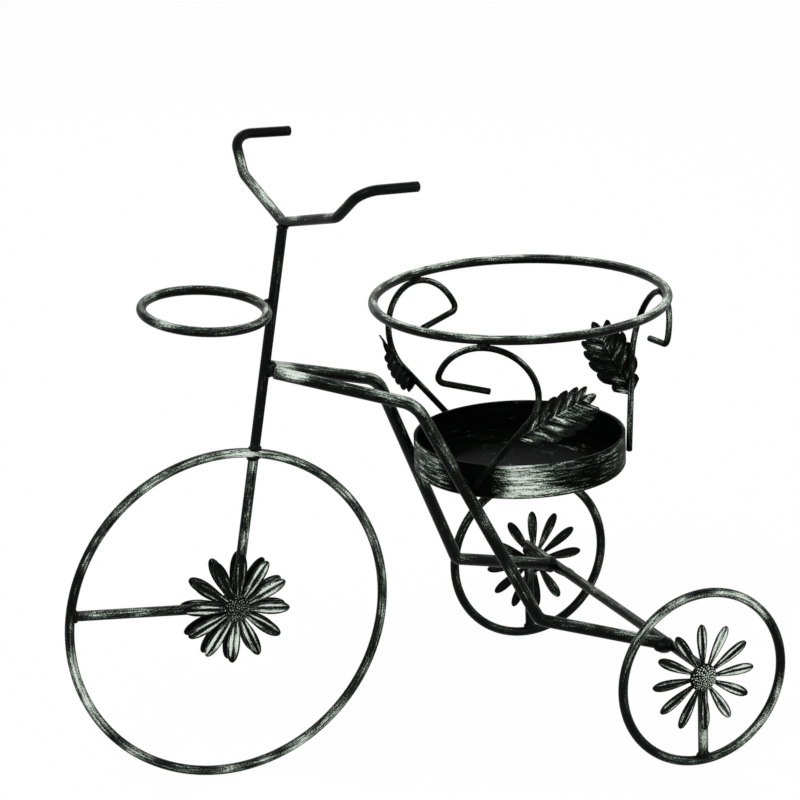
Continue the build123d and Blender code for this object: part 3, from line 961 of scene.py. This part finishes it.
def make_button(node, centre, outward, material):
    """A domed seed head covered in small beads."""
    ball = (BUTTON_RADIUS**2 + BUTTON_HEIGHT**2) / (2 * BUTTON_HEIGHT)
    place = flower_place(centre + outward * PETAL_SHEET, outward)
    points = []
    for ring in range(DOME_RINGS):
        radius = (BUTTON_RADIUS - DOME_INSET) * (1 - ring / DOME_RINGS)
        height = math.sqrt((ball - DOME_INSET) ** 2 - radius**2) + BUTTON_HEIGHT - ball
        points += [place(point) for point in circle(radius, max(0.0, height), DOME_SEGMENTS)]
    points.append(place(Vector((0, 0, BUTTON_HEIGHT - DOME_INSET))))
    raised = [0.0] * len(points)
    faces = dome_faces(DOME_RINGS, DOME_SEGMENTS, 0, len(points) - 1)
    golden = math.pi * (3 - math.sqrt(5))
    seed = random.Random(node)
    spread = (BUTTON_RADIUS - BEAD_EDGE) / math.sqrt(BEADS)
    for bead in range(BEADS):
        radius = spread * math.sqrt(bead + seed.uniform(*BEAD_STEPS))
        angle = bead * golden + seed.uniform(-BEAD_SWAY, BEAD_SWAY)
        height = math.sqrt(ball**2 - radius**2) + BUTTON_HEIGHT - ball - BEAD_RADIUS
        seat = Vector((radius * math.cos(angle), radius * math.sin(angle), height))
        up = Vector((seat.x, seat.y, ball + height)).normalized()
        add_bead(points, faces, raised, place, seat, up, BEAD_RADIUS * seed.uniform(*BEAD_SIZES))
    new_piece(node + "_beads", points, faces, material, {"raised": raised}, [node])


def make_flowers():
    """A daisy with its seed head on both sides of the front hub and outside each rear wheel."""
    petals = sheet_paint("petal_paint", 0.5, patchy=2.0, streaky=3.0, crisp=1.15)
    dark_beads = button_paint("dark_bead_paint", 0.12)
    pale_beads = button_paint("pale_bead_paint", 0.42)
    for name, side in sides.items():
        outward = Vector((0, side, 0))
        seat = hub + outward * (BAR_ROD / 2 + WELD_GAP)
        shape = (FRONT_PETAL_WIDTH, FRONT_PETAL_SHARES)
        make_flower("front_flower_" + name, seat, outward, side * FRONT_TURN, *shape, petals, FRONT_PETAL_HIGHLIGHTS)
        make_button("front_flower_button_" + name, seat, outward, dark_beads)
        setback, rise = REAR_OFFSETS[name]
        seat = Vector((rear_x + setback, 0, rear_rim_height + rise))
        seat += outward * (track / 2 + BAR_ROD / 2 + WELD_GAP)
        shape = (REAR_PETAL_WIDTH, REAR_PETAL_SHARES)
        make_flower("rear_flower_" + name, seat, outward, side * REAR_TURN, *shape, petals, REAR_PETAL_HIGHLIGHTS)
        make_button("rear_flower_button_" + name, seat, outward, pale_beads)


def leaf_axes(angle, place):
    """The base, the sideways way, the length way and the face way of one leaf."""
    stem_share, pressed_share, way, face = place
    foot, top = scroll_path(angle)[:2]
    stem_way = (top - foot).normalized()
    outward = Vector((math.cos(angle), math.sin(angle), 0))
    local = (outward, UPRIGHT.cross(outward), UPRIGHT)
    length_way = sum((axis * part for axis, part in zip(local, way)), Vector()).normalized()
    face_way = sum((axis * part for axis, part in zip(local, face)), Vector())
    across = length_way.cross(face_way).normalized()
    normal = across.cross(length_way)
    aside = (normal - stem_way * normal.dot(stem_way)).normalized()
    below = (SCROLL_ROD + RIB_DIAMETER) / 2 + LEAF_SHEET * (1 - pressed_share)
    base = foot + (top - foot) * stem_share - aside * below
    return base, across, length_way, normal


def side_lobe(share):
    """How far the lobes reach at a share of the leaf's length, and how near a lobe's middle that is."""
    best, nearness = 0.0, 0.0
    for start_share, reach_share in LOBE_SHARES:
        off = abs(share - start_share) * LEAF_LENGTH * math.cos(LOBE_ANGLE) / (LOBE_WIDTH / 2)
        if off < 1:
            full = LEAF_HALF_WIDTH * reach_share / math.cos(LOBE_ANGLE)
            reach = full - NOTCH_DEPTH * (1 - math.sqrt(1 - off**2))
            if reach > best:
                best, nearness = reach, 1 - off**2
    return best, nearness


def tip_lobe(share):
    """How far the lobe at the leaf's tip reaches, along the way of the side lobes."""
    low, high = 0.0, LEAF_LENGTH
    for _ in range(TIP_HALVINGS):
        reach = (low + high) / 2
        x, y = reach * math.cos(LOBE_ANGLE), share * LEAF_LENGTH + reach * math.sin(LOBE_ANGLE)
        past = max(0.0, (y - LEAF_LENGTH + TIP_LOBE_LENGTH) / TIP_LOBE_LENGTH)
        inside = past < 1 and x < TIP_HALF_WIDTH * math.sqrt(1 - past**2)
        low, high = (reach, high) if inside else (low, reach)
    return low


def leaf_reach(share):
    """How far the leaf's edge lies at a share of its length, and how near a lobe's middle that is."""
    reach, nearness = side_lobe(share)
    tip = tip_lobe(share)
    if tip > reach:
        reach, nearness = tip, TIP_NEARNESS
    return max(reach, LEAF_LEAST_REACH), nearness


def leaf_half(side):
    """The upper points of half a leaf, how far each stands up, and its place for the streaks."""
    way = Vector((math.cos(LOBE_ANGLE), math.sin(LOBE_ANGLE)))
    points, lifts, flat = [], [], []
    for row in range(LEAF_ROWS):
        share = LEAF_START_SHARE + (LEAF_END_SHARE - LEAF_START_SHARE) * row / (LEAF_ROWS - 1)
        reach, nearness = leaf_reach(share)
        for column in range(LEAF_COLUMNS):
            out = column / (LEAF_COLUMNS - 1)
            x = side * way.x * reach * out
            y = share * LEAF_LENGTH + way.y * reach * out
            swell = math.sin(math.pi * min(1.0, SWELL_START_SHARE + out)) * nearness
            vein = max(0.0, nearness - 1 + VEIN_SHARE) / VEIN_SHARE * (1 - out)
            rib = max(0.0, 1 - abs(x) / RIB_FOOT)
            lift = SWELL_HEIGHT * swell + VEIN_HEIGHT * vein + RIB_HEIGHT * rib - LEAF_HOLLOW
            points.append(Vector((x, y, LEAF_SHEET - abs(x) * math.tan(LEAF_FOLD) + lift)))
            lifts.append(clamped(SWELL_SILVER * swell + VEIN_SILVER * vein + RIB_SILVER * rib))
            flat.append((2 * reach * out, share * LEAF_LENGTH * way.x, side * STREAK_STEP))
    return points, lifts, flat


def make_leaf(node, axes, brush, material):
    """A folded leaf with round lobes, a midrib and a vein along each lobe."""
    base, across, length_way, normal = axes
    points, faces, raised, places = [], [], [], []
    for side in sides.values():
        start = len(points)
        top, lifts, flat = leaf_half(side)
        under = [Vector((point.x, point.y, -abs(point.x) * math.tan(LEAF_FOLD))) for point in top]
        for point in top + under:
            points.append(base + across * point.x + length_way * point.y + normal * point.z)
        raised += lifts + [BACK_RAISED] * len(under)
        places += flat + flat
        half = sheet_faces(LEAF_ROWS, LEAF_COLUMNS, start)
        faces += flipped(half) if side > 0 else half
    stored = {"raised": raised, "brush": [brush] * len(points), "sweep_place": places}
    new_piece(node + "_blade", points, faces, material, stored, [node])


def make_leaves():
    """The three leaves, one on each scroll's stem."""
    leaves = zip(SCROLL_ANGLES, LEAF_PLACES, LEAF_SILVER_SHADE_AND_GLOSS)
    for number, (angle, place, (brush, gloss)) in enumerate(leaves, start=1):
        name = "leaf_paint_" + str(number)
        # Leaf 2's lower silver is painted shade
        material = sheet_paint(name, 0.26, patchy=1.6, streaky=2.8, gloss=gloss)
        make_leaf("leaf_" + str(number), leaf_axes(angle, place), brush, material)


def reach_to_rim(way):
    """How far the front rim's centre line lies from the hub along a way."""
    offset = hub - rim_centre
    along = offset.dot(way)
    return -along + math.sqrt(along**2 + rim_radius**2 - offset.dot(offset))


def weld_marks():
    """Each weld: its middle, and its half sizes along X, Y and Z."""
    rim_top = hub + column_way * reach_to_rim(column_way)
    marks = [
        (rim_top - column_way * RIM_WELD_STEP, INNER_RIM_WELD),
        (rim_top + column_way * RIM_WELD_STEP, OUTER_RIM_WELD),
        (hub + forward_way * (reach_to_rim(forward_way) - RING_ROD / 2), FORWARD_SPOKE_WELD),
        (on_column(BAR_START_HEIGHT) + BAR_START_WELD_STEP, BAR_START_WELD),
        (on_column(HANDLEBAR_HEIGHT) - column_way * HANDLEBAR_WELD_DROP, HANDLEBAR_WELD),
        (on_column(CUP_RING_HEIGHT) + CUP_RING_WELD_STEP, CUP_RING_WELD),
    ]
    for side in sides.values():
        y = side * track / 2
        marks.append((Vector((rear_x, y, RING_ROD + REAR_RIM_WELD_RISE)), REAR_RIM_WELD))
        marks.append((Vector((rear_x, y, axle_height - BAR_ROD / 2)), AXLE_WELD))
        marks.append((bar_corners(side)[3] + BAR_TAIL_WELD_STEP, BAR_TAIL_WELD))
    for angle in SCROLL_ANGLES:
        foot, along, up, height = scroll_frame(angle)
        head = foot + along * SCROLL_HEAD_OFFSET + up * height
        marks.append((head + SCROLL_WELD_STEP, SCROLL_WELD))
    return marks


def weld_swelling(direction, number):
    """How much a weld swells in one direction, for its lumps."""
    swelling = 1.0
    for height, fineness, step in WELD_LUMPS:
        shift = Vector([part * number for part in step])
        swelling += height * noise.noise(direction * fineness + shift)
    return swelling


def make_welds(material):
    """The lumpy swollen metal at each joint."""
    points, faces = [], []
    for number, (centre, halves) in enumerate(weld_marks()):
        faces += band_faces(WELD_RINGS + 1, WELD_SEGMENTS, len(points), flip=True)
        for ring in range(WELD_RINGS + 1):
            tilt = math.pi * ring / WELD_RINGS
            for direction in circle(math.sin(tilt), math.cos(tilt), WELD_SEGMENTS):
                offset = Vector([part * half * MM for part, half in zip(direction, halves)])
                points.append(centre + offset * weld_swelling(direction, number))
    stored = {"sweep_place": [tuple(point) for point in points], "brush": [WELD_BRUSH] * len(points)}
    new_piece("weld_beads", points, faces, material, stored)


def make_floor():
    """A wide floor that looks white, and lights the planter as pale grey."""
    half = FLOOR_SIZE / 2
    corners = [(-half, -half, 0), (half, -half, 0), (half, half, 0), (-half, half, 0)]
    mesh = bpy.data.meshes.new("floor")
    mesh.from_pydata(corners, [], [(0, 1, 2, 3)])
    placed("floor", mesh)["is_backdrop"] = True
    paint = Paint("floor_paint")
    diffuse = paint.add("BsdfDiffuse", {"Color": FLOOR_GREY}).outputs[0]
    glow = paint.add("Emission", {"Color": WHITE, "Strength": 1.0}).outputs[0]
    white = paint.maths("MULTIPLY", paint.seen(), FLOOR_GLOW)
    mixed = paint.add("MixShader", {0: white, 1: diffuse, 2: glow}).outputs[0]
    paint.add("OutputMaterial", {"Surface": mixed})
    mesh.materials.append(paint.material)


def make_backdrop():
    """A backdrop that looks white, and lights the planter less than it shows."""
    world = bpy.data.worlds.new("studio")
    bpy.context.scene.world = world
    world.use_nodes = True
    shader = Shader(world.node_tree)
    inputs = {"Value": shader.seen(), "To Min": BACKDROP_LIGHT, "To Max": 1.0}
    strength = shader.add("MapRange", inputs).outputs["Result"]
    background = shader.add("Background", {"Color": WHITE, "Strength": strength})
    shader.add("OutputWorld", {"Surface": background.outputs[0]})


def make_lights():
    """The area lights, which all point at the planter's middle."""
    for name, (place, size, watts) in LIGHTS.items():
        data = bpy.data.lights.new(name, "AREA")
        data.shape = "RECTANGLE"
        data.size, data.size_y = size
        data.energy = watts
        light = placed(name, data)
        light.location = place
        light.rotation_euler = (LIGHT_TARGET - Vector(place)).to_track_quat("-Z", "Y").to_euler()


def make_camera():
    """The photograph's view."""
    turn, rise, roll = CAMERA_TURN, CAMERA_RISE, CAMERA_ROLL
    back = Vector((math.sin(turn) * math.cos(rise), -math.cos(turn) * math.cos(rise), math.sin(rise)))
    level = Vector((math.cos(turn), math.sin(turn), 0))
    upright = back.cross(level)
    right = level * math.cos(roll) + upright * math.sin(roll)
    up = upright * math.cos(roll) - level * math.sin(roll)
    data = bpy.data.cameras.new("camera")
    data.sensor_width = SENSOR
    data.lens = FOCAL_PIXELS * SENSOR / FRAME_PIXELS
    data.clip_end = CAMERA_REACH
    camera = placed("camera", data)
    camera.matrix_world = Matrix.Translation(CAMERA_PLACE) @ Matrix((right, up, back)).transposed().to_4x4()
    bpy.context.scene.camera = camera


dress_rings()
dress_rods()
dress_tray()
# upward sets the painted highlight on the tops of the bars, handlebar, welds and scrolls
bar_paint = swept_paint("swept_bar_paint", 0.04, sideways=0.2, upward=0.5)
make_handlebar(bar_paint)
make_frame_bars(bar_paint)
make_scrolls(swept_paint("scroll_paint", -0.06, sideways=0.2, upward=0.36, gloss=0.02))
make_flowers()
make_leaves()
make_welds(bar_paint)
make_floor()
make_backdrop()
make_lights()
make_camera()
bpy.context.scene.view_settings.view_transform = "Standard"

boxes = {"cad": cad_box, "scene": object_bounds()}
{name: [list(corner) for corner in corners] for name, corners in boxes.items()}
